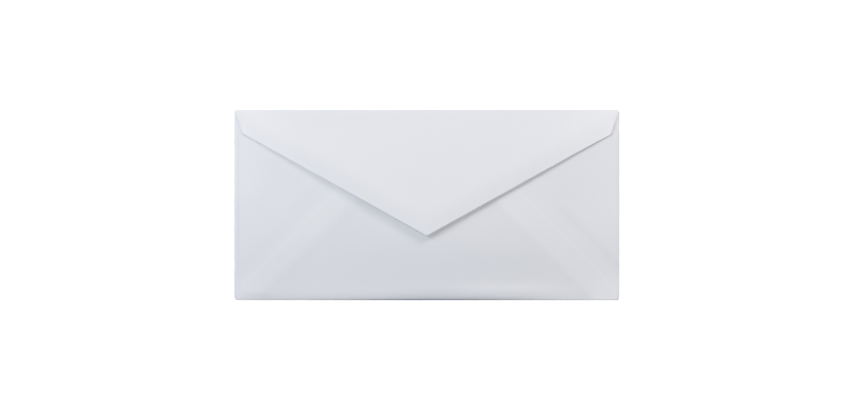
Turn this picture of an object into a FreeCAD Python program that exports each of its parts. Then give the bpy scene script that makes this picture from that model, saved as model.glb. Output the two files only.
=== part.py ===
"""A plain paper envelope, cut, folded and glued from one sheet, lying with its flap side up.

Millimetres. X runs along the width, Y towards the fold of the closing flap, and Z is up.
The address face lies on z = 0, and the origin is under the middle of the envelope.
"""

import FreeCAD, Part

import math
import os

from FreeCAD import Vector

# The envelope and its sheet
WIDTH = 220.0
HEIGHT = 109.0
PAPER = 0.12
POCKET_GAP = 0.56           # air between the front and the side flaps, at their folds
GLUE_PRESS = 0.02           # how far the bottom flap is pressed into the side flaps under it
PUFF = 1.3                  # how far the back swells above the middle of the bottom fold
PUFF_REACH = 6.0            # how far from the bottom fold it reaches its full height

# The folds, and where each one stops short of the corner
SIDE_FOLD_SETBACK = 1.5
BOTTOM_FOLD_SETBACK = 0.7
TOP_FOLD_SETBACK = 0.4
CLOSING_FLAP_CLEARANCE = 0.2    # from the side flaps to the closing flap, at its fold

# The bottom flap, glued over the side flaps along two seams
THROAT_DEPTH = 28.5         # from the top fold down to the flap's upper edge
BOTTOM_FLAP_TOP_WIDTH = 70.0
BOTTOM_FLAP_TOP_RADIUS = 9.0
SEAM_KNEE_INSET = 7.0       # where the seam turns steeply down to the corner
SEAM_KNEE_RISE = 12.5
SEAM_KNEE_RADIUS = 20.0

# The side flaps, which reach under the bottom flap
SEAM_LAP = 13.0             # width of the glued band
SIDE_FLAP_FOOT_RISE = 2.3   # how far the lower edge climbs before it turns along the seam
SIDE_FLAP_FOOT_RADIUS = 16.0
SIDE_FLAP_TIP_RADIUS = 8.0

# The closing flap, folded down but not stuck, so that it springs up a little
CLOSING_FLAP_DEPTH = 71.9
SHOULDER_DROP = 13.9
SHOULDER_INSET = 5.1
SHOULDER_RADIUS = 3.5
TIP_RADIUS = 1.5
LIFT_AT_FOLD = 3.9          # degrees
LIFT_AT_TIP = 2.6           # degrees

MARGIN = 1.0                # how far a cutting outline runs past what it cuts

# Worked out from the sizes above
HALF_WIDTH = WIDTH / 2
HALF_HEIGHT = HEIGHT / 2
SIDE_BEND = POCKET_GAP / 2 + PAPER
SIDE_FLAP_TOP = 2 * SIDE_BEND
BOTTOM_FLAP_TOP = SIDE_FLAP_TOP + PAPER - GLUE_PRESS
BOTTOM_BEND = BOTTOM_FLAP_TOP / 2
TOP_BEND = (SIDE_FLAP_TOP + CLOSING_FLAP_CLEARANCE + PAPER) / 2
PANEL_X = HALF_WIDTH - SIDE_BEND
PANEL_BOTTOM = -HALF_HEIGHT + BOTTOM_BEND
PANEL_TOP = HALF_HEIGHT - TOP_BEND
SIDE_FOLD_BOTTOM = -HALF_HEIGHT + SIDE_FOLD_SETBACK
SIDE_FOLD_TOP = HALF_HEIGHT - SIDE_FOLD_SETBACK
THROAT_Y = HALF_HEIGHT - THROAT_DEPTH


def polar(centre, radius, degrees):
    """The point at an angle on a circle that stands in a plane of constant x."""
    angle = math.radians(degrees)
    return centre + Vector(0, radius * math.cos(angle), radius * math.sin(angle))


def rounded_face(corners):
    """A flat face at z = 0 with straight edges between corners (x, y, radius), taken in order."""
    points = [Vector(x, y, 0) for x, y, _ in corners]
    edges = []
    ends = []
    for i, (_, _, radius) in enumerate(corners):
        here = points[i]
        back = (points[i - 1] - here).normalize()
        onward = (points[(i + 1) % len(points)] - here).normalize()
        if radius == 0:
            ends.append((here, here))
            continue
        half_angle = back.getAngle(onward) / 2
        reach = radius / math.tan(half_angle)
        start = here + back * reach
        end = here + onward * reach
        to_centre = (back + onward).normalize()
        middle = here + to_centre * (radius / math.sin(half_angle) - radius)
        ends.append((start, end))
        edges.append(Part.Arc(start, middle, end).toShape())
    for i, (start, _) in enumerate(ends):
        edges.append(Part.LineSegment(ends[i - 1][1], start).toShape())
    return Part.Face(Part.Wire(Part.sortEdges(edges)[0]))


def crossing(start, direction, other_start, other_direction):
    """Where two lines in the plane z = 0 cross."""
    across = direction.cross(other_direction).z
    along = (other_start - start).cross(other_direction).z / across
    return start + direction * along


def swollen_layer(z):
    """The whole back at one level, with its under face at z along the folds.

    From the bottom fold it climbs quickly to its full height, most in the middle, and from there
    it sinks slowly to the top. Along X it is one arch from side fold to side fold.
    """
    steep = PANEL_BOTTOM + PUFF_REACH / 3
    level = PANEL_BOTTOM + PUFF_REACH
    middle = (PANEL_BOTTOM + PANEL_TOP) / 2
    profile = [(PANEL_BOTTOM, 0), (steep, 2 * PUFF), (middle, 2 * PUFF), (PANEL_TOP, 0)]
    poles = [
        [Vector(x, y, z + rise * share) for y, rise in profile]
        for x, share in ((-PANEL_X, 0), (0, 1), (PANEL_X, 0))
    ]
    knot = (level - steep) / (middle - steep)
    surface = Part.BSplineSurface()
    surface.buildFromPolesMultsKnots(poles, [3, 3], [3, 1, 3], [0, 1], [0, knot, 1], False, False, 2, 2)
    return surface.toShape().extrude(Vector(0, 0, PAPER))


def cut_out(layer, corners):
    """The part of a layer that lies inside an outline seen from above."""
    cutter = rounded_face(corners).extrude(Vector(0, 0, layer.BoundBox.ZMax + MARGIN))
    return layer.common(cutter)


def curved_strip(centre, radius, first, last, length):
    """A strip of paper along X, bent round a centre from one angle to another."""
    angles = (first, (first + last) / 2, last)
    outer = [polar(centre, radius, angle) for angle in angles]
    inner = [polar(centre, radius - PAPER, angle) for angle in reversed(angles)]
    wire = Part.Wire([
        Part.Arc(*outer).toShape(),
        Part.LineSegment(outer[2], inner[0]).toShape(),
        Part.Arc(*inner).toShape(),
        Part.LineSegment(inner[2], outer[0]).toShape(),
    ])
    return Part.Face(wire).extrude(Vector(length, 0, 0))


def fold(radius, length, degrees=180.0):
    """A fold along X whose outer face touches y = 0, turning up from a sheet that comes from -y."""
    centre = Vector(-length / 2, -radius, radius)
    return curved_strip(centre, radius, -90.0, degrees - 90.0, length)


def front_panel():
    """The address side, flat on z = 0."""
    origin = Vector(-PANEL_X, PANEL_BOTTOM, 0)
    return Part.makeBox(2 * PANEL_X, PANEL_TOP - PANEL_BOTTOM, PAPER, origin)


def seam_corners():
    """The bottom flap's top corner, knee and foot on the right-hand side."""
    top = Vector(BOTTOM_FLAP_TOP_WIDTH / 2, THROAT_Y, 0)
    knee = Vector(HALF_WIDTH - SEAM_KNEE_INSET, -HALF_HEIGHT + SEAM_KNEE_RISE, 0)
    foot = Vector(HALF_WIDTH - BOTTOM_FOLD_SETBACK, PANEL_BOTTOM, 0)
    return top, knee, foot


def bottom_flap():
    """The flap folded up from the bottom fold, over both side flaps."""
    top, knee, foot = seam_corners()
    right = [
        (foot.x, foot.y, 0),
        (knee.x, knee.y, SEAM_KNEE_RADIUS),
        (top.x, top.y, BOTTOM_FLAP_TOP_RADIUS),
    ]
    left = [(-x, y, radius) for x, y, radius in reversed(right)]
    below = -HALF_HEIGHT - MARGIN
    under = [(-foot.x, below, 0), (foot.x, below, 0)]
    flap = cut_out(swollen_layer(BOTTOM_FLAP_TOP - PAPER), right + left + under)
    bottom_fold = fold(BOTTOM_BEND, 2 * foot.x)
    bottom_fold.rotate(Vector(), Vector(0, 0, 1), 180)
    bottom_fold.translate(Vector(0, -HALF_HEIGHT, 0))
    return [flap, bottom_fold]


def side_flap_corners():
    """The right side flap's outline, from its foot on the fold round its tip to its shoulder."""
    top, knee, _ = seam_corners()
    foot = Vector(PANEL_X, SIDE_FOLD_BOTTOM, 0)
    shoulder = Vector(PANEL_X, SIDE_FOLD_TOP, 0)
    along_seam = (top - knee).normalize()
    inward = Vector(-along_seam.y, along_seam.x, 0)
    lower_edge = knee + inward * SEAM_LAP
    heel = crossing(lower_edge, along_seam, foot + Vector(0, SIDE_FLAP_FOOT_RISE, 0), Vector(1, 0, 0))
    tip = crossing(lower_edge, along_seam, shoulder, top - shoulder)
    outside = HALF_WIDTH + MARGIN
    return [
        (outside, foot.y, 0),
        (foot.x, foot.y, 0),
        (heel.x, heel.y, SIDE_FLAP_FOOT_RADIUS),
        (tip.x, tip.y, SIDE_FLAP_TIP_RADIUS),
        (shoulder.x, shoulder.y, 0),
        (outside, shoulder.y, 0),
    ]


def side_flap():
    """The right-hand flap, folded in over the front, with its fold."""
    flap = cut_out(swollen_layer(SIDE_FLAP_TOP - PAPER), side_flap_corners())
    right_fold = fold(SIDE_BEND, SIDE_FOLD_TOP - SIDE_FOLD_BOTTOM)
    right_fold.rotate(Vector(), Vector(0, 0, 1), -90)
    right_fold.translate(Vector(HALF_WIDTH, (SIDE_FOLD_TOP + SIDE_FOLD_BOTTOM) / 2, 0))
    return [flap, right_fold]


def closing_flap():
    """The pointed flap: its fold, and a sheet that rises from it and levels out towards the tip."""
    half_fold = HALF_WIDTH - TOP_FOLD_SETBACK
    top_fold = fold(TOP_BEND, 2 * half_fold, 180 - LIFT_AT_FOLD)
    top_fold.translate(Vector(0, HALF_HEIGHT, 0))

    first = 90 - LIFT_AT_FOLD
    last = 90 - LIFT_AT_TIP
    turn = math.sin(math.radians(LIFT_AT_FOLD)) - math.sin(math.radians(LIFT_AT_TIP))
    sheet_radius = (CLOSING_FLAP_DEPTH + MARGIN - TOP_BEND) / turn
    fold_centre = Vector(-half_fold, PANEL_TOP, TOP_BEND)
    centre = polar(fold_centre, TOP_BEND - sheet_radius, first)
    sheet = curved_strip(centre, sheet_radius, first, last, 2 * half_fold)

    shoulder_y = HALF_HEIGHT - SHOULDER_DROP
    right = [
        (half_fold, HALF_HEIGHT + MARGIN, 0),
        (half_fold, PANEL_TOP, 0),
        (HALF_WIDTH - SHOULDER_INSET, shoulder_y, SHOULDER_RADIUS),
    ]
    left = [(-x, y, radius) for x, y, radius in reversed(right)]
    tip = [(0, HALF_HEIGHT - CLOSING_FLAP_DEPTH, TIP_RADIUS)]
    return [top_fold, cut_out(sheet, right + tip + left)]


def envelope():
    """The whole folded sheet as one solid."""
    right = side_flap()
    left = [piece.mirror(Vector(), Vector(1, 0, 0)) for piece in right]
    pieces = right + left + bottom_flap() + closing_flap()
    return front_panel().multiFuse(pieces).removeSplitter()


def main():
    os.makedirs("parts", exist_ok=True)
    shape = envelope()
    box = shape.BoundBox
    print("solids", len(shape.Solids), "valid", shape.isValid(), "volume", round(shape.Volume, 1))
    print("size", [round(length, 2) for length in (box.XLength, box.YLength, box.ZLength)])
    shape.exportStep("parts/envelope.step")


main()
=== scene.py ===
"""Looks of the paper envelope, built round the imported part, with its floor, light and camera."""

import logging
import math
from collections.abc import Iterable
from dataclasses import dataclass, field
from enum import Enum

import bmesh
import bpy
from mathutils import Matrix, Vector, noise
from mathutils.kdtree import KDTree


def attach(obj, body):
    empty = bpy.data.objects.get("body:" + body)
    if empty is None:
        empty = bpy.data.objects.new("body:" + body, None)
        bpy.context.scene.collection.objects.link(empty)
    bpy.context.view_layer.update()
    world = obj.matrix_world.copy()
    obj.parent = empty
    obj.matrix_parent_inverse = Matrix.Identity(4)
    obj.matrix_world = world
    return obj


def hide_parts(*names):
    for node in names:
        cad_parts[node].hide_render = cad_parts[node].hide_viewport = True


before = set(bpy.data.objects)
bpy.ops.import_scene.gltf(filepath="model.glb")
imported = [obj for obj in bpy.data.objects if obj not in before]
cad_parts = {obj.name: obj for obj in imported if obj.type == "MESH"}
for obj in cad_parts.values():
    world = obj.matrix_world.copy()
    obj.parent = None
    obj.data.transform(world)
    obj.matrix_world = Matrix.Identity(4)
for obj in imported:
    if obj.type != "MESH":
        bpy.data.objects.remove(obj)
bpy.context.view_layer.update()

MM = 0.001
BLANK_UV = "blank"
UV_SPAN = 400.0  # mm of flat paper that the texture map is wide and high
SAME_PLACE = 1e-5  # mm, and points closer than this are one
NEARLY_STRAIGHT = math.radians(89.9)  # half the angle of a corner that needs no rounding

log = logging.getLogger("envelope")

Corner = tuple[float, float, float]
Place = tuple[float, float, float]
Point = tuple[float, float]
Span = tuple[float, float]


class Tone(Enum):
    """The colours of the scene, as sRGB hex."""

    PAPER = "#E7EBF1"
    FLOOR = "#F2F2F2"
    KEY_LIGHT = "#F0F7FF"
    FILL_LIGHT = "#FFF0E2"
    TOP_LIGHT = "#FFFCFA"
    ROOM = "#F4F8FF"


def linear(tone: Tone) -> tuple[float, float, float, float]:
    """Turns a tone into linear colour, as lamps and materials take it.

    Args:
        tone: The colour, as sRGB hex.

    Returns:
        Red, green, blue and an alpha of 1.
    """
    channels = [int(tone.value[i : i + 2], 16) / 255 for i in (1, 3, 5)]
    red, green, blue = (
        c / 12.92 if c <= 0.04045 else ((c + 0.055) / 1.055) ** 2.4 for c in channels
    )
    return red, green, blue, 1.0


def ease(value: float) -> float:
    """A smooth step from 0 to 1 as value goes from 0 to 1."""
    share = min(1.0, max(0.0, value))
    return share * share * (3 - 2 * share)


def ramp(value: float, span: Span) -> float:
    """A smooth step from 0 at the span's first place to 1 at its last one."""
    return ease((value - span[0]) / (span[1] - span[0]))


def fade(distance: float, reach: float) -> float:
    """A straight fall from 1 at no distance to 0 at the reach."""
    return max(0.0, 1 - distance / reach)


def bell(distance: float, width: float) -> float:
    """A soft hump that is 1 at no distance and fades over about one width."""
    return math.exp(-((distance / width) ** 2))


def steps(first: float, last: float, largest: float) -> list[float]:
    """Evenly spaced values from first to last, no further apart than largest."""
    count = max(1, math.ceil(abs(last - first) / largest))
    return [first + (last - first) * i / count for i in range(count + 1)]


def round_corners(corners: Iterable[Corner], step: float) -> list[Point]:
    """Draws an open outline through corners, each one rounded.

    Args:
        corners: The corners in order, each x, y and the radius of its arc in mm.
        step: The largest distance between two points on an arc, in mm.

    Returns:
        The points of the outline, with the first and last corner as they are.
    """
    given = list(corners)
    points = [Vector(c[:2]) for c in given]
    outline: list[Point] = [tuple(points[0])]
    for before, here, after, corner in zip(points, points[1:], points[2:], given[1:]):
        radius = corner[2]
        to_before = (before - here).normalized()
        to_after = (after - here).normalized()
        half = to_before.angle(to_after) / 2
        if radius <= 0 or half > NEARLY_STRAIGHT:
            outline.append(tuple(here))
            continue
        centre = here + (to_before + to_after).normalized() * radius / math.sin(half)
        start = here + to_before * radius / math.tan(half) - centre
        turn = math.pi - 2 * half
        if start.x * to_after.y - start.y * to_after.x < 0:
            turn = -turn
        for angle in steps(0, turn, step / radius):
            x = start.x * math.cos(angle) - start.y * math.sin(angle)
            y = start.x * math.sin(angle) + start.y * math.cos(angle)
            outline.append((centre.x + x, centre.y + y))
    outline.append(tuple(points[-1]))
    return outline


def mirrored(outline: list[Point]) -> list[Point]:
    """The same outline on the other side of x = 0, in the opposite order."""
    return [(-x, y) for x, y in reversed(outline)]


@dataclass(frozen=True)
class Hump:
    """A soft ridge: how much there is at its crest, where the crest is and its width."""

    peak: float
    at: float
    width: float

    def over(self, distance: float) -> float:
        """How much of the ridge there is at a distance."""
        return self.peak * bell(distance - self.at, self.width)


@dataclass(frozen=True)
class Patch:
    """A soft area of the paper, seen from above, that adds an amount to something.

    Each span goes from the place where the patch starts to the one where it is full, in mm.
    A ridge has a peak of 1. The patch is where its spans and its ridges all are.
    """

    amount: float
    across: tuple[Span, ...] = ()
    along: tuple[Span, ...] = ()
    ridge_across: Hump | None = None
    ridge_along: Hump | None = None

    def at(self, x: float, y: float) -> float:
        """The amount that the patch adds at one place.

        Args:
            x: The place across the envelope, in mm.
            y: The place up the envelope, in mm.

        Returns:
            The patch's amount or a share of it.
        """
        added = self.amount
        for span in self.across:
            added *= ramp(x, span)
        for span in self.along:
            added *= ramp(y, span)
        if self.ridge_across:
            added *= self.ridge_across.over(x)
        if self.ridge_along:
            added *= self.ridge_along.over(y)
        return added


@dataclass(frozen=True)
class Bend:
    """A fold that carries the sheet from the front panel's edge up and over its back.

    The sizes are of the outside face, in mm: how far the straight panel reaches from the
    middle, the radius of the turn and how far it turns in degrees.
    """

    edge: float
    radius: float
    turn: float = 180.0

    @property
    def length(self) -> float:
        """The paper that the turn takes."""
        return self.radius * math.radians(self.turn)

    def place(self, run: float) -> Point:
        """Follows the paper round the turn.

        Args:
            run: How far past the panel's edge, along the paper, in mm.

        Returns:
            The distance from the middle of the envelope and the height, in mm.
        """
        angle = run / self.radius - math.pi / 2
        return (
            self.edge + self.radius * math.cos(angle),
            self.radius + self.radius * math.sin(angle),
        )


SIDE_FOLD = Bend(109.6, 0.40)
BOTTOM_FOLD = Bend(54.05, 0.45)
TOP_FOLD = Bend(53.94, 0.56, 176.1)


@dataclass(frozen=True)
class BackRise:
    """How the loosely filled back stands up from its folds, in mm.

    It is fullest a little right of the middle, climbs in a round roll from the bottom fold
    to a low crest, and sinks slowly from there to the top fold. On the right a shallow
    trough lies above the roll.
    """

    half_width: float = SIDE_FOLD.edge
    bottom: float = -BOTTOM_FOLD.edge
    top: float = TOP_FOLD.edge
    reach: float = 5.0
    middle_reach: Hump = Hump(1.4, 4.0, 18.0)
    height: float = 0.88
    sink: float = 1.6
    roll_height: float = 1.06
    crest_width: float = 4.5
    full_at: float = 15.0
    full_width: float = 45.0
    left_share: float = 0.42
    left_end: Span = (85.0, 45.0)
    left_climb: float = 8.0
    right_climb: float = 14.0
    trough: Patch = Patch(-0.46, ((6.0, 34.0), (82.0, 68.0)), ((-49.8, -43.0), (-6.0, -38.0)))
    side_roll: float = 0.30
    side_roll_width: float = 11.0
    side_from_top: float = 16.0
    side_from_bottom: float = 34.0
    wave: float = 0.05
    wave_length: float = 34.0
    wave_from_folds: float = 14.0

    def at(self, x: float, y: float) -> float:
        """The rise over the level at the folds.

        Args:
            x: The place across the envelope, in mm.
            y: The place up the envelope, in mm.

        Returns:
            The rise in mm.
        """
        reach = self.reach + self.middle_reach.over(x)
        level = self.bottom + reach
        full = self.fullness(x)
        crest = self.roll_height * full
        if y < level:
            rise = crest * self.roll((y - self.bottom) / reach)
        else:
            share = (y - level) / (self.top - level)
            sunk = share * share * (self.sink - (self.sink - 1) * share)
            slow = self.height * full * (1 - sunk)
            rise = slow + (crest - self.height * full) * (1 - ease((y - level) / self.crest_width))
        return rise + self.side(x, y) + self.ripple(x, y) + self.trough.at(x, y)

    def fullness(self, x: float) -> float:
        """How full the back is across the envelope.

        Args:
            x: The place across the envelope, in mm.

        Returns:
            A share from 0 at the side folds to 1 where it is fullest.
        """
        left = self.left_share * ramp(x, self.left_end)
        hump = (1 - self.left_share) * bell(x - self.full_at, self.full_width)
        climb = self.left_climb if x < 0 else self.right_climb
        return (left + hump) * ease((self.half_width - abs(x)) / climb)

    @staticmethod
    def roll(share: float) -> float:
        """The round climb from the bottom fold, steepest at the fold itself."""
        t = math.sqrt(1 + 3 * max(0.0, share)) - 1
        return 2 * t - t * t

    def side(self, x: float, y: float) -> float:
        """The soft roll along each side fold.

        Args:
            x: The place across the envelope, in mm.
            y: The place up the envelope, in mm.

        Returns:
            What the roll adds to the rise, in mm.
        """
        inside = max(0.0, self.half_width - abs(x))
        rise = self.side_roll * (1 - math.exp(-inside / self.side_roll_width))
        rise *= ease((self.top - y) / self.side_from_top)
        return rise * ease((y - self.bottom) / self.side_from_bottom)

    def ripple(self, x: float, y: float) -> float:
        """Slight waves of a sheet that has been handled, none at the folds.

        Args:
            x: The place across the envelope, in mm.
            y: The place up the envelope, in mm.

        Returns:
            What the waves add to the rise, in mm.
        """
        inside = min(self.half_width - abs(x), y - self.bottom, self.top - y)
        place = Vector((x, y, 0)) / self.wave_length
        return self.wave * noise.noise(place) * ease(inside / self.wave_from_folds)


@dataclass(frozen=True)
class SeamSide:
    """What one diagonal seam looks like, in mm.

    The glued lap ends in a soft step. The upper sheet comes down at its own edge, where it also
    has a painted highlight, and beside it the side flap has a band of painted shade.
    """

    lap: float
    step_width: float
    edge_drop: float
    edge_width: float
    painted_edge_highlight: float
    painted_shade_band: Hump


@dataclass(frozen=True)
class GumCurl:
    """How the gummed border of the closing flap has curled, in mm from its edge, and the painted
    shade along it.
    """

    ridge: Hump = Hump(0.16, 9.5, 4.2)
    droop: float = 0.18
    droop_width: float = 11.0
    # painted shade along the turned-down border and at its very edge
    loss: float = 0.026
    painted_edge_shade: float = 0.012
    edge_width: float = 1.2
    from_fold: float = 9.0
    ends: Span = (106.0, 99.0)

    def share(self, x: float, past: float) -> float:
        """How much of the curl there is, less at the fold and none at the shoulders."""
        return ease(past / self.from_fold) * ramp(abs(x), self.ends)

    def at(self, inside: float) -> float:
        """The height that the curl adds, at a distance inside the edge."""
        return self.ridge.over(inside) - self.droop * fade(inside, self.droop_width) ** 2

    def shade(self, inside: float) -> float:
        """The painted shade of the turned-down border, as the share of light it loses."""
        border = self.loss * fade(inside, self.droop_width)
        return border + self.painted_edge_shade * fade(inside, self.edge_width)


@dataclass(frozen=True)
class FlapSag:
    """How far the closing flap hangs below its plain curve, in mm."""

    left_end: float = 0.24
    right_end: float = 0.12
    end_at: float = 105.0
    slump: Hump = Hump(0.30, -55.0, 38.0)
    from_fold: float = 12.0

    def at(self, x: float, past: float) -> float:
        """The drop at one place of the flap.

        Args:
            x: The place across the envelope, in mm.
            past: How far below the flap's fold, along the paper, in mm.

        Returns:
            The drop in mm.
        """
        end = self.left_end if x < 0 else self.right_end
        drop = end * abs(x / self.end_at) ** 3 + self.slump.over(x)
        return drop * ease(past / self.from_fold)


@dataclass(frozen=True)
class BendShade:
    """The share of light lost where the full envelope's bottom fold turns under."""

    line: float = 0.57
    line_width: float = 58.0
    line_height: float = 0.12
    roll: float = 0.045
    roll_height: float = 4.0
    middle: Hump = Hump(0.060, 0.0, 22.0)
    middle_height: float = 7.0
    start: float = 0.4

    def at(self, x: float, past: float) -> float:
        """The loss on the fold or above it.

        Args:
            x: The place across the envelope, in mm.
            past: How far beyond the fold's turn, along the paper, in mm.

        Returns:
            The share of light that the paper loses.
        """
        full = bell(x, self.line_width)
        if past <= 0:
            return self.line * full
        roll = self.roll * full * fade(past, self.roll_height) ** 2
        roll += self.middle.over(x) * fade(past, self.middle_height) ** 2
        return roll + (self.line * full - roll) * fade(past, self.line_height)


@dataclass(frozen=True)
class PaintedLightAndShade:
    """Painted light and shade on the paper, as shares of its tone, in soft patches on the closing
    flap and on the back."""

    flap: float = 0.035
    flap_fall: float = 0.35
    flap_length: float = 72.0
    flap_ends: float = 0.040
    flap_ends_span: Span = (60.0, 105.0)
    flap_right: float = 0.025
    flap_right_span: Span = (20.0, 110.0)
    pocket: tuple[Patch, ...] = (
        # painted light under the flap's tip, painted shade near the bottom
        Patch(0.020, along=((10.0, -10.0),), ridge_across=Hump(1.0, 0.0, 62.0)),
        Patch(-0.040, along=((10.0, -10.0), (-8.0, -34.0)), ridge_across=Hump(1.0, 0.0, 62.0)),
    )
    right: tuple[Patch, ...] = (
        # painted light at the side fold, the lower corner, the crest of the roll and the glued
        # band
        Patch(0.036, ((73.6, 109.6),), ((-32.0, -2.0),)),
        Patch(0.050, ((88.0, 102.0),), ((-36.0, -48.0),)),
        Patch(0.018, ((14.0, 42.0), (96.0, 84.0)), ridge_along=Hump(1.0, -48.0, 4.0)),
        Patch(0.018, along=((-33.0, -23.0),), ridge_across=Hump(1.0, 42.0, 26.0)),
    )
    left: tuple[Patch, ...] = (
        # painted light at the side fold, painted shade beside it, painted light at the lower
        # corner, painted shade at the foot of the seam
        Patch(0.040, ((-81.6, -109.6),), ((-5.0, 13.0),)),
        Patch(-0.016, ((-57.6, -89.6),), ((6.0, -30.0),)),
        Patch(0.006, ((-86.0, -102.0),), ((-36.0, -48.0),)),
        Patch(-0.034, along=((-48.5, -51.5),), ridge_across=Hump(1.0, -97.0, 9.0)),
    )

    def on_flap(self, x: float, past: float) -> float:
        """The painted light on the closing flap, more towards its ends and on the right, less
        towards its tip.

        Args:
            x: The place across the envelope, in mm.
            past: How far below the flap's fold, along the paper, in mm.

        Returns:
            The share of painted light.
        """
        gain = self.flap * (1 - self.flap_fall * min(1.0, past / self.flap_length))
        gain += self.flap_ends * ramp(abs(x), self.flap_ends_span)
        return gain + self.flap_right * ramp(x, self.flap_right_span)

    def on_back(self, x: float, y: float) -> float:
        """The painted light and shade on the side flaps and the bottom flap."""
        patches = self.pocket + (self.right if x > 0 else self.left)
        return sum(patch.at(x, y) for patch in patches)


class EdgeLine:
    """An outline kept as closely spaced points, to measure distances from it."""

    def __init__(self, outline: list[Point], spacing: float = 0.3) -> None:
        """Spreads points along the outline.

        Args:
            outline: The corners of the line, in mm.
            spacing: The largest distance between two points, in mm.
        """
        places = []
        for (x0, y0), (x1, y1) in zip(outline, outline[1:]):
            length = max(spacing, math.hypot(x1 - x0, y1 - y0))
            for share in steps(0, 1, spacing / length):
                places.append((x0 + (x1 - x0) * share, y0 + (y1 - y0) * share, 0))
        self.tree = KDTree(len(places))
        for number, place in enumerate(places):
            self.tree.insert(place, number)
        self.tree.balance()

    def distance(self, x: float, y: float) -> float:
        """How far a place seen from above is from the outline."""
        return self.tree.find((x, y, 0))[2]


@dataclass
class EnvelopeSheet:
    """The one sheet of paper: cut flat, scored into rows, folded and given its thickness.

    All sizes are in mm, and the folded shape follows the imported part's own numbers.
    """

    paper: float = 0.12
    half_height: float = 54.5
    side: Bend = SIDE_FOLD
    bottom: Bend = BOTTOM_FOLD
    top: Bend = TOP_FOLD
    rise: BackRise = BackRise()
    # painted light and shade in soft patches, kept in the sheet's shade attribute
    white: PaintedLightAndShade = PaintedLightAndShade()
    bend_shade: BendShade = BendShade()

    # the rows that the sheet is scored into, closer where it is soft
    grid: float = 1.6
    fine: float = 0.45
    turns: int = 10
    margin: float = 0.5
    beside_side_fold: float = 5.6
    beside_side_step: float = 0.28
    above_bottom_fold: float = 7.2
    below_top_fold: float = 3.2
    past_bottom_flap: float = 82.0
    sharpest: float = math.radians(50)

    # the side flaps, whose hidden edges run along the seams and meet at a tip
    side_fold_reach: float = 53.0
    hidden_offset: float = 42.6
    hidden_heel: float = -50.7
    heel_radius: float = 16.0
    side_tip_radius: float = 8.0
    side_arc_step: float = 0.8
    seam_ridge: Hump = Hump(0.12, 10.0, 2.4)
    seam_ridge_along: Span = (30.0, 14.0)
    right_shade_band_along: Span = (3.0, -7.0)
    crease: Hump = Hump(1.0, 2.0, 0.28)
    crease_from: Span = (-50.0, -30.0)
    crease_to: Span = (44.0, 38.0)
    crease_depth: float = 0.03
    # the score line is a shallow groove, drawn darker with painted shade
    crease_painted_shade: float = 0.075
    # painted shadow on the left side flap beside the closing flap's left end
    left_end_painted_shadow: Hump = Hump(0.035, 0.0, 0.7)

    # the bottom flap, glued over them along the seams, which lie at 45 degrees
    bottom_fold_reach: float = 109.3
    seam_offset: float = 61.0
    seam_knee: float = 103.0
    seam_knee_radius: float = 20.0
    throat: float = 35.0
    throat_radius: float = 9.0
    seam_arc_step: float = 0.5
    left: SeamSide = SeamSide(
        lap=12.2,
        step_width=6.0,
        edge_drop=0.12,
        edge_width=4.5,
        painted_edge_highlight=0.016,
        painted_shade_band=Hump(0.013, 6.5, 4.0),
    )
    right: SeamSide = SeamSide(
        lap=13.9,
        step_width=4.0,
        edge_drop=0.12,
        edge_width=2.6,
        painted_edge_highlight=0.018,
        painted_shade_band=Hump(0.026, 10.0, 2.6),
    )
    lap_rise: float = 0.04
    bare_drop: float = 0.14
    # painted shade on the bottom flap over the pocket, where no side flap lies under it
    bare_painted_shade: float = 0.042
    rise_from_fold: float = 6.0
    edge_from_fold: float = 4.0

    # the closing flap, folded down and not sealed
    lift_at_fold: float = 4.1
    lift_at_tip: float = 2.60
    flap_depth: float = 72.2
    # the curve reaches its last lift this far beyond the tip
    beyond_tip: float = 1.0
    tip_radius: float = 0.6
    left_shoulder: Corner = (-104.9, 40.6, 2.6)
    right_shoulder: Corner = (104.9, 40.15, 2.6)
    right_bow: Corner = (83.0, 28.43, 0.0)
    closing_arc_step: float = 0.4
    curl: GumCurl = GumCurl()
    sag: FlapSag = FlapSag()

    seam_edge: EdgeLine = field(init=False)
    flap_edge: EdgeLine = field(init=False)
    left_end: EdgeLine = field(init=False)

    def __post_init__(self) -> None:
        """Keeps the edges that show, to measure from."""
        self.seam_edge = EdgeLine(self.seam_outline())
        closing = self.closing_outline()
        shoulder = self.right_shoulder[1]
        self.flap_edge = EdgeLine([p for p in closing if p[1] < shoulder])
        self.left_end = EdgeLine([p for p in closing if p[0] < 0 and p[1] > shoulder])

    def build(self) -> bpy.types.Object:
        """Makes the finished sheet.

        Returns:
            The folded paper as one object.
        """
        bm = bmesh.new()
        self.cut(bm)
        self.score(bm)
        self.fold_up(bm)
        bm.normal_update()
        bmesh.ops.solidify(bm, geom=bm.faces[:], thickness=self.paper)
        self.unwrap(bm)
        bmesh.ops.scale(bm, vec=(MM, MM, MM), verts=bm.verts)
        return self.to_object(bm)

    @property
    def flap_radius(self) -> float:
        """The radius of the closing flap's slight downward curve."""
        fold, tip = (math.sin(math.radians(a)) for a in (self.lift_at_fold, self.lift_at_tip))
        return (self.flap_depth + self.beyond_tip - self.top.radius) / (fold - tip)

    def flap_place(self, run: float) -> Point:
        """Follows the closing flap's curve.

        Args:
            run: How far past the end of its fold, along the paper, in mm.

        Returns:
            The place up the envelope and the height, in mm.
        """
        radius = self.flap_radius
        first = math.radians(90 - self.lift_at_fold)
        reach = self.top.radius - radius
        y = self.top.edge + reach * math.cos(first)
        z = self.top.radius + reach * math.sin(first)
        angle = first + run / radius
        return y + radius * math.cos(angle), z + radius * math.sin(angle)

    def flap_run(self, y: float) -> float:
        """Finds a place on the closing flap's curve.

        Args:
            y: The place up the envelope, in mm.

        Returns:
            How far past the end of its fold that is, along the paper, in mm.
        """
        radius = self.flap_radius
        first = math.radians(90 - self.lift_at_fold)
        centre = self.top.edge + (self.top.radius - radius) * math.cos(first)
        return (math.acos((y - centre) / radius) - first) * radius

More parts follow.
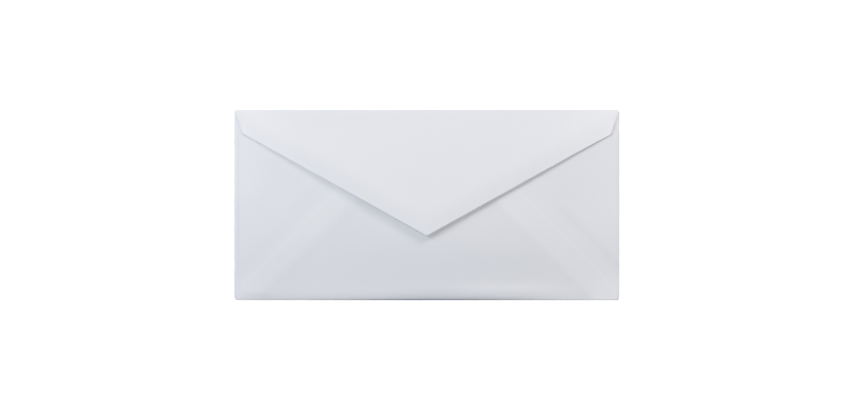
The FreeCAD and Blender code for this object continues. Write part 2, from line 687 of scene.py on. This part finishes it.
    def side_outline(self) -> list[Point]:
        """Draws the right side flap in the flat sheet.

        Returns:
            Its edge in mm, from the front panel's lower corner up to its upper one.
        """
        edge, reach = self.side.edge, self.side_fold_reach
        throat_y = self.seam_offset - self.throat
        slope = (reach - throat_y) / (edge - self.throat)
        tip = (self.hidden_offset - throat_y + slope * self.throat) / (1 + slope)
        corners = [
            (edge, -reach, 0),
            (self.hidden_offset - self.hidden_heel, self.hidden_heel, self.heel_radius),
            (tip, self.hidden_offset - tip, self.side_tip_radius),
            (edge, reach, 0),
        ]
        end = edge + self.side.length
        flap = [(end + edge - x, y) for x, y in round_corners(corners, self.side_arc_step)]
        return [(edge, -reach), *flap, (edge, reach)]

    def seam_outline(self) -> list[Point]:
        """Draws the bottom flap's edge as it lies folded.

        Returns:
            The edge in mm, from its right foot to its left one.
        """
        half = [
            (self.bottom_fold_reach, -self.bottom.edge, 0),
            (self.seam_knee, self.seam_offset - self.seam_knee, self.seam_knee_radius),
            (self.throat, self.seam_offset - self.throat, self.throat_radius),
        ]
        whole = half + [(-x, y, radius) for x, y, radius in reversed(half)]
        return round_corners(whole, self.seam_arc_step)

    def closing_outline(self) -> list[Point]:
        """Draws the closing flap's edge as it lies folded.

        Returns:
            The edge in mm, from its right end to its left one.
        """
        corners = [
            (self.side.edge, self.top.edge, 0),
            self.right_shoulder,
            self.right_bow,
            (0, self.half_height - self.flap_depth, self.tip_radius),
            self.left_shoulder,
            (-self.side.edge, self.top.edge, 0),
        ]
        return round_corners(corners, self.closing_arc_step)

    def blank_outline(self) -> list[Point]:
        """Draws the whole flat sheet.

        Returns:
            Its edge in mm, seen from the side that ends up inside.
        """
        side = self.side_outline()
        past_top = self.top.edge + self.top.length
        closing = [(x, past_top + self.flap_run(y)) for x, y in self.closing_outline()]
        past_bottom = -self.bottom.edge - self.bottom.length
        foot = [(x, past_bottom - (y + self.bottom.edge)) for x, y in self.seam_outline()]
        return [
            (self.side.edge, -self.bottom.edge),
            *side,
            (self.side.edge, self.top.edge),
            *closing,
            (-self.side.edge, self.top.edge),
            *mirrored(side),
            (-self.side.edge, -self.bottom.edge),
            (-self.bottom_fold_reach, -self.bottom.edge),
            *reversed(foot),
            (self.bottom_fold_reach, -self.bottom.edge),
        ]

    def cut_size(self) -> tuple[float, float, float]:
        """Measures the flat sheet.

        Returns:
            Its width and length in metres, and its area in square metres.
        """
        outline = self.blank_outline()
        xs, ys = zip(*outline)
        pairs = zip(outline, [*outline[1:], outline[0]])
        area = abs(sum(x0 * y1 - x1 * y0 for (x0, y0), (x1, y1) in pairs)) / 2
        return (max(xs) - min(xs)) * MM, (max(ys) - min(ys)) * MM, area * MM * MM

    def cut(self, bm: bmesh.types.BMesh) -> None:
        """Makes the flat sheet as one face, with a narrow margin along its edge.

        Args:
            bm: The empty mesh to work on.
        """
        verts = [bm.verts.new((x, y, 0)) for x, y in reversed(self.blank_outline())]
        blank = bm.faces.new(verts)
        bmesh.ops.inset_region(bm, faces=[blank], thickness=self.margin, use_even_offset=True)

    def columns(self) -> list[float]:
        """Where the sheet is scored up and down, on its right half.

        Returns:
            The places across the flat sheet, in mm from its middle.
        """
        side_end = self.side.edge + self.side.length
        soft_end = side_end + self.beside_side_fold
        places = steps(0, self.side.edge, self.grid)
        places += steps(self.side.edge, side_end, self.side.length / self.turns)[1:]
        places += steps(side_end, soft_end, self.beside_side_step)[1:]
        return places + steps(soft_end, side_end + self.side.edge, self.grid)[1:]

    def rows(self) -> list[float]:
        """Where the sheet is scored across.

        Returns:
            The places up the flat sheet, in mm from its middle.
        """
        past_bottom = self.bottom.edge + self.bottom.length
        soft_bottom = past_bottom + self.above_bottom_fold
        past_top = self.top.edge + self.top.length
        soft_top = past_top + self.below_top_fold
        below = steps(self.bottom.edge, past_bottom, self.bottom.length / self.turns)
        below += steps(past_bottom, soft_bottom, self.fine)[1:]
        below += steps(soft_bottom, past_bottom + self.past_bottom_flap, self.grid)[1:]
        places = [-place for place in below]
        places += steps(-self.bottom.edge, self.top.edge, self.grid)[1:]
        places += steps(self.top.edge, past_top, self.top.length / self.turns)[1:]
        places += steps(past_top, soft_top, self.fine)[1:]
        return places + steps(soft_top, past_top + self.flap_depth, self.grid)[1:]

    def score(self, bm: bmesh.types.BMesh) -> None:
        """Divides the sheet into rows both ways, closer at the folds and where it is soft.

        Args:
            bm: The flat sheet.
        """
        half = self.columns()
        for x in sorted({-place for place in half} | set(half)):
            self.slice(bm, (x, 0, 0), (1, 0, 0))
        for y in self.rows():
            self.slice(bm, (0, y, 0), (0, 1, 0))

    @staticmethod
    def slice(bm: bmesh.types.BMesh, place: Place, normal: Place) -> None:
        """One straight score across the whole sheet."""
        whole = [*bm.verts, *bm.edges, *bm.faces]
        bmesh.ops.bisect_plane(bm, geom=whole, dist=SAME_PLACE, plane_co=place, plane_no=normal)

    def fold_up(self, bm: bmesh.types.BMesh) -> None:
        """Folds every point to its place, and keeps its flat place and its shade.

        Args:
            bm: The flat, scored sheet.
        """
        floats = bm.verts.layers.float
        across, along = floats.new("flat_x"), floats.new("flat_y")
        shade = floats.new("shade")
        for vert in bm.verts:
            x, y = vert.co.x, vert.co.y
            vert[across], vert[along] = x, y
            vert.co, vert[shade] = self.fold(x, y)

    def fold(self, x: float, y: float) -> tuple[Vector, float]:
        """Finds where a point of the flat sheet goes.

        Args:
            x: The point's place across the flat sheet, in mm.
            y: The point's place up the flat sheet, in mm.

        Returns:
            The folded place, and the share of light that the paper loses there.
        """
        if y > self.top.edge:
            return self.fold_top(x, y - self.top.edge)
        if y < -self.bottom.edge:
            return self.fold_bottom(x, -self.bottom.edge - y)
        if abs(x) > self.side.edge:
            return self.fold_side(math.copysign(1, x), abs(x) - self.side.edge, y)
        return Vector((x, y, 0)), 0.0

    def fold_top(self, x: float, run: float) -> tuple[Vector, float]:
        """Places a point of the top fold or the closing flap.

        Args:
            x: The point's place across the flat sheet, in mm.
            run: How far past the front panel's edge, in mm.

        Returns:
            The folded place, and the share of light that the paper loses there.
        """
        past = run - self.top.length
        # painted light on the closing flap
        gain = self.white.on_flap(x, max(0.0, past))
        if past <= 0:
            y, z = self.top.place(run)
            return Vector((x, y, z)), -gain
        y, z = self.flap_place(past)
        z -= self.sag.at(x, past)
        inside = self.flap_edge.distance(x, y)
        curled = self.curl.share(x, past)
        z += self.curl.at(inside) * curled
        # painted shade of the curled border, less the painted light on the flap
        return Vector((x, y, z)), self.curl.shade(inside) * curled - gain

    def fold_side(self, hand: float, run: float, y: float) -> tuple[Vector, float]:
        """Places a point of a side fold or its flap.

        Args:
            hand: 1 on the right and -1 on the left.
            run: How far past the front panel's edge, in mm.
            y: The point's place up the flat sheet, in mm.

        Returns:
            The folded place, and the share of light that the paper loses there.
        """
        past = run - self.side.length
        if past <= 0:
            x, z = self.side.place(run)
            return Vector((hand * x, y, z)), -self.white.on_back(hand * x, y)
        x = hand * (self.side.edge - past)
        outside = (abs(x) + y - self.seam_offset) / math.sqrt(2)
        z = 2 * self.side.radius + self.rise.at(x, y)
        # painted light and shade on the side flap
        loss = -self.white.on_back(x, y)
        if hand < 0:
            crease = self.crease.over(past) * ramp(y, self.crease_from) * ramp(y, self.crease_to)
            z -= self.crease_depth * crease
            # painted shade in a band beside the left seam and along the score line
            loss += self.left.painted_shade_band.over(outside) + self.crease_painted_shade * crease
            # painted shadow beside the closing flap's left end
            loss += self.left_end_painted_shadow.over(self.left_end.distance(x, y))
        else:
            z += self.seam_ridge.over(outside) * ramp(y, self.seam_ridge_along)
            # painted shade in a band beside the right seam
            loss += self.right.painted_shade_band.over(outside) * ramp(y, self.right_shade_band_along)
        return Vector((x, y, z)), loss

    def fold_bottom(self, x: float, run: float) -> tuple[Vector, float]:
        """Places a point of the bottom fold or its flap.

        Args:
            x: The point's place across the flat sheet, in mm.
            run: How far past the front panel's edge, in mm.

        Returns:
            The folded place, and the share of light that the paper loses there.
        """
        past = run - self.bottom.length
        if past <= 0:
            y, z = self.bottom.place(run)
            loss = self.bend_shade.at(x, past) * ease(run / self.bend_shade.start)
            return Vector((x, -y, z)), loss - self.white.on_back(x, -y)
        y = past - self.bottom.edge
        seam = self.right if x > 0 else self.left
        inside = self.seam_edge.distance(x, y)
        bare = ease((inside - seam.lap) / seam.step_width + 0.5)
        at_edge = fade(inside, seam.edge_width) ** 2 * ease(past / self.edge_from_fold)
        z = 2 * self.bottom.radius + self.rise.at(x, y) - seam.edge_drop * at_edge
        z += (self.lap_rise - self.bare_drop * bare) * ease(past / self.rise_from_fold)
        # painted light, and a painted highlight along the seam's edge
        gain = self.white.on_back(x, y) + seam.painted_edge_highlight * at_edge
        # painted shade where no side flap lies under the bottom flap and on the bottom fold, less
        # the painted light
        return Vector((x, y, z)), self.bare_painted_shade * bare + self.bend_shade.at(x, past) - gain

    def unwrap(self, bm: bmesh.types.BMesh) -> None:
        """Lays the flat sheet's own places out as its texture map, and shades it smooth.

        Args:
            bm: The folded sheet, with its thickness.
        """
        across = bm.verts.layers.float["flat_x"]
        along = bm.verts.layers.float["flat_y"]
        layer = bm.loops.layers.uv.new(BLANK_UV)
        for face in bm.faces:
            face.smooth = True
            for loop in face.loops:
                u = loop.vert[across] / UV_SPAN + 0.5
                v = loop.vert[along] / UV_SPAN + 0.5
                loop[layer].uv = (u, v)
        for edge in bm.edges:
            edge.smooth = edge.calc_face_angle(0.0) < self.sharpest

    @staticmethod
    def to_object(bm: bmesh.types.BMesh) -> bpy.types.Object:
        """Puts the mesh in the scene.

        Args:
            bm: The finished mesh, which is used up.

        Returns:
            The new object.
        """
        mesh = bpy.data.meshes.new("envelope_paper")
        bm.to_mesh(mesh)
        bm.free()
        piece = bpy.data.objects.new("envelope_paper", mesh)
        bpy.context.scene.collection.objects.link(piece)
        return piece


class NodeDesk:
    """A material's or the world's node tree, and short ways to work on it."""

    def __init__(self, owner: bpy.types.ID) -> None:
        """Clears the owner's tree.

        Args:
            owner: The material or the world.
        """
        owner.use_nodes = True
        self.tree = owner.node_tree
        self.tree.nodes.clear()

    def add(self, kind: str, inputs: dict | None = None, **settings: object) -> bpy.types.Node:
        """Adds one node, sets it up and links it.

        Args:
            kind: The name of the node's type.
            inputs: A value, or another node's output, for each named or numbered input.
            settings: Properties of the node itself.

        Returns:
            The new node.
        """
        node = self.tree.nodes.new(kind)
        for name, value in settings.items():
            setattr(node, name, value)
        for name, value in (inputs or {}).items():
            if isinstance(value, bpy.types.NodeSocket):
                self.tree.links.new(value, node.inputs[name])
            else:
                node.inputs[name].default_value = value
        return node


def backdrop_rays(desk: NodeDesk) -> bpy.types.NodeSocket:
    """Finds the rays that show a backdrop: direct, mirrored or through something.

    Args:
        desk: The desk to work on.

    Returns:
        An output that is 1 on those rays.
    """
    path = desk.add("ShaderNodeLightPath").outputs
    seen = path["Is Camera Ray"]
    for kind in ("Is Glossy Ray", "Is Transmission Ray"):
        seen = desk.add("ShaderNodeMath", {0: seen, 1: path[kind]}, operation="MAXIMUM").outputs[0]
    return seen


# Wove paper is made on a plain wire cloth and left uncoated. The eye gets an even, cool white and
# quite matt face, faintly cloudy where the fibres lie thicker, with a fine tooth. A little light
# comes through it. The painted shade that the sheet carries darkens it and turns it bluer, and the
# painted light makes it lighter.
@dataclass(frozen=True)
class WovePaper:
    """The uncoated white wove paper of the whole sheet."""

    tone: Tone = Tone.PAPER
    roughness: float = 0.85
    sheen_level: float = 0.25
    see_through: float = 0.12
    # how much more the painted shade takes from red than from blue
    shade_tint: tuple[float, float, float] = (1.1, 1.0, 0.87)
    cloud_mm: float = 6.0
    cloud_share: float = 0.012
    cloud_detail: float = 3.0
    # real tooth is about 0.1 mm across, drawn as coarse as it needs to show
    tooth_mm: float = 0.7
    tooth_depth: float = 0.012 * MM
    tooth_detail: float = 4.0
    grain: float = 0.6

    def build(self) -> bpy.types.Material:
        """Makes the material.

        Returns:
            The material with its nodes.
        """
        material = bpy.data.materials.new("uncoated_white_wove_paper")
        desk = NodeDesk(material)
        where = desk.add("ShaderNodeUVMap", uv_map=BLANK_UV).outputs["UV"]
        patterns = ((self.cloud_mm, self.cloud_detail), (self.tooth_mm, self.tooth_detail))
        cloud, tooth = [
            desk.add(
                "ShaderNodeTexNoise",
                {
                    "Vector": where,
                    "Scale": UV_SPAN / size,
                    "Detail": detail,
                    "Roughness": self.grain,
                },
                noise_dimensions="2D",
            ).outputs["Fac"]
            for size, detail in patterns
        ]
        bump = desk.add(
            "ShaderNodeBump",
            {"Strength": 1.0, "Distance": self.tooth_depth, "Height": tooth},
        )
        # the painted light and shade that the sheet carries
        shade = desk.add("ShaderNodeAttribute", attribute_name="shade")
        mottle = desk.add("ShaderNodeMath", {0: cloud, 1: 0.5}, operation="SUBTRACT")
        loss = desk.add(
            "ShaderNodeMath",
            {0: mottle.outputs[0], 1: self.cloud_share, 2: shade.outputs["Fac"]},
            operation="MULTIPLY_ADD",
        )
        light = desk.add(
            "ShaderNodeVectorMath",
            {0: loss.outputs[0], 1: [-share for share in self.shade_tint], 2: (1.0, 1.0, 1.0)},
            operation="MULTIPLY_ADD",
        )
        colour = desk.add(
            "ShaderNodeMix",
            {"Factor": 1.0, "A": linear(self.tone), "B": light.outputs[0]},
            data_type="RGBA",
            blend_type="MULTIPLY",
        )
        self.surface(desk, colour.outputs["Result"], bump.outputs["Normal"])
        return material

    def surface(
        self, desk: NodeDesk, colour: bpy.types.NodeSocket, bump: bpy.types.NodeSocket
    ) -> None:
        """Joins the matt face and the light that comes through into one surface.

        Args:
            desk: The material's desk.
            colour: The output with the paper's colour.
            bump: The output with the paper's tooth.
        """
        face = desk.add(
            "ShaderNodeBsdfPrincipled",
            {
                "Base Color": colour,
                "Roughness": self.roughness,
                "Specular IOR Level": self.sheen_level,
                "Normal": bump,
            },
        )
        through = desk.add("ShaderNodeBsdfTranslucent", {"Color": colour, "Normal": bump})
        mixed = desk.add(
            "ShaderNodeMixShader",
            {0: self.see_through, 1: face.outputs[0], 2: through.outputs[0]},
        )
        desk.add("ShaderNodeOutputMaterial", {"Surface": mixed.outputs[0]})


# A smooth, matt white table. The eye gets a plain white ground, darker only where the envelope
# keeps the light off it.
@dataclass(frozen=True)
class WhiteTable:
    """The painted white top that the envelope lies on."""

    tone: Tone = Tone.FLOOR
    lift: float = 0.50

    def build(self) -> bpy.types.Material:
        """Makes the material.

        Returns:
            The material with its nodes.
        """
        material = bpy.data.materials.new("white_table")
        desk = NodeDesk(material)
        matt = desk.add("ShaderNodeBsdfDiffuse", {"Color": linear(self.tone)})
        lift = desk.add(
            "ShaderNodeMath",
            {0: backdrop_rays(desk), 1: self.lift},
            operation="MULTIPLY",
        )
        glow = desk.add("ShaderNodeEmission", {"Strength": lift.outputs[0]})
        both = desk.add("ShaderNodeAddShader", {0: matt.outputs[0], 1: glow.outputs[0]})
        desk.add("ShaderNodeOutputMaterial", {"Surface": both.outputs[0]})
        return material


@dataclass(frozen=True)
class Softbox:
    """A square lamp that faces the envelope.

    Its place is a bearing and an elevation in degrees and a reach in metres. Its size is in
    metres and its power in watts.
    """

    name: str
    bearing: float
    elevation: float
    reach: float
    size: float
    power: float
    tone: Tone

    def build(self) -> bpy.types.Object:
        """Makes the lamp.

        Returns:
            The lamp, turned to the middle of the envelope.
        """
        lamp = bpy.data.lights.new(self.name, "AREA")
        lamp.size = self.size
        lamp.energy = self.power
        lamp.color = linear(self.tone)[:3]
        bearing, elevation = math.radians(self.bearing), math.radians(self.elevation)
        towards = Vector(
            (
                math.cos(bearing) * math.cos(elevation),
                math.sin(bearing) * math.cos(elevation),
                math.sin(elevation),
            )
        )
        lamp_object = bpy.data.objects.new(self.name, lamp)
        lamp_object.location = towards * self.reach
        lamp_object.rotation_euler = towards.to_track_quat("Z", "Y").to_euler()
        bpy.context.scene.collection.objects.link(lamp_object)
        return lamp_object


@dataclass(frozen=True)
class Studio:
    """A pale floor, soft lamps, an even room and a camera that looks straight down."""

    floor_size: float = 6.0
    # the floor lies a little lower than the paper, so that the two faces don't coincide
    floor_gap: float = 0.04 * MM
    room_light: float = 0.02
    lens: float = 150.0
    sensor: float = 36.0
    clip_end: float = 20.0
    frame_width: float = 487.75 * MM
    aim: tuple[float, float] = (0.09 * MM, -0.16 * MM)
    lamps: tuple[Softbox, ...] = (
        Softbox("key_softbox", 147.5, 40, 1.3, 0.7, 7.95, Tone.KEY_LIGHT),
        Softbox("fill_softbox", 61, 32, 1.3, 0.5, 6.20, Tone.FILL_LIGHT),
        Softbox("top_softbox", 90, 90, 1.3, 0.25, 8.70, Tone.TOP_LIGHT),
    )

    def build(self) -> None:
        """Sets up the whole studio."""
        self.floor()
        for lamp in self.lamps:
            lamp.build()
        self.room()
        self.camera()
        bpy.context.scene.view_settings.view_transform = "Standard"

    def floor(self) -> bpy.types.Object:
        """Makes the floor, a stage piece that is no part of the envelope.

        Returns:
            The floor.
        """
        bm = bmesh.new()
        bmesh.ops.create_grid(bm, x_segments=1, y_segments=1, size=self.floor_size / 2)
        bmesh.ops.translate(bm, vec=(0, 0, -self.floor_gap), verts=bm.verts)
        mesh = bpy.data.meshes.new("floor")
        bm.to_mesh(mesh)
        bm.free()
        mesh.materials.append(WhiteTable().build())
        floor = bpy.data.objects.new("floor", mesh)
        bpy.context.scene.collection.objects.link(floor)
        return floor

    def room(self) -> None:
        """Sets up even light from all round, which the camera sees as white."""
        world = bpy.data.worlds.new("room")
        desk = NodeDesk(world)
        strength = desk.add(
            "ShaderNodeMath",
            {0: backdrop_rays(desk), 1: 1 - self.room_light, 2: self.room_light},
            operation="MULTIPLY_ADD",
        )
        glow = desk.add(
            "ShaderNodeBackground",
            {"Color": linear(Tone.ROOM), "Strength": strength.outputs[0]},
        )
        desk.add("ShaderNodeOutputWorld", {"Surface": glow.outputs[0]})
        bpy.context.scene.world = world

    def camera(self) -> None:
        """Sets the camera over the middle, far enough for the photograph's flat view."""
        lens = bpy.data.cameras.new("camera")
        lens.lens = self.lens
        lens.sensor_width = self.sensor
        lens.clip_end = self.clip_end
        camera = bpy.data.objects.new("camera", lens)
        camera.location = (*self.aim, self.frame_width * self.lens / self.sensor)
        bpy.context.scene.collection.objects.link(camera)
        bpy.context.scene.camera = camera


def main() -> None:
    """Builds the envelope's paper and then the studio round it."""
    logging.basicConfig(level=logging.INFO, format="%(name)s: %(message)s")
    sheet = EnvelopeSheet()
    paper = sheet.build()
    paper.data.materials.append(WovePaper().build())
    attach(paper, "root")
    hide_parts("envelope")
    width, length, area = sheet.cut_size()
    log.info("%s: %d faces", paper.name, len(paper.data.polygons))
    Studio().build()
    log.info("studio: floor, lamps, room and camera")


if __name__ == "__main__":
    main()
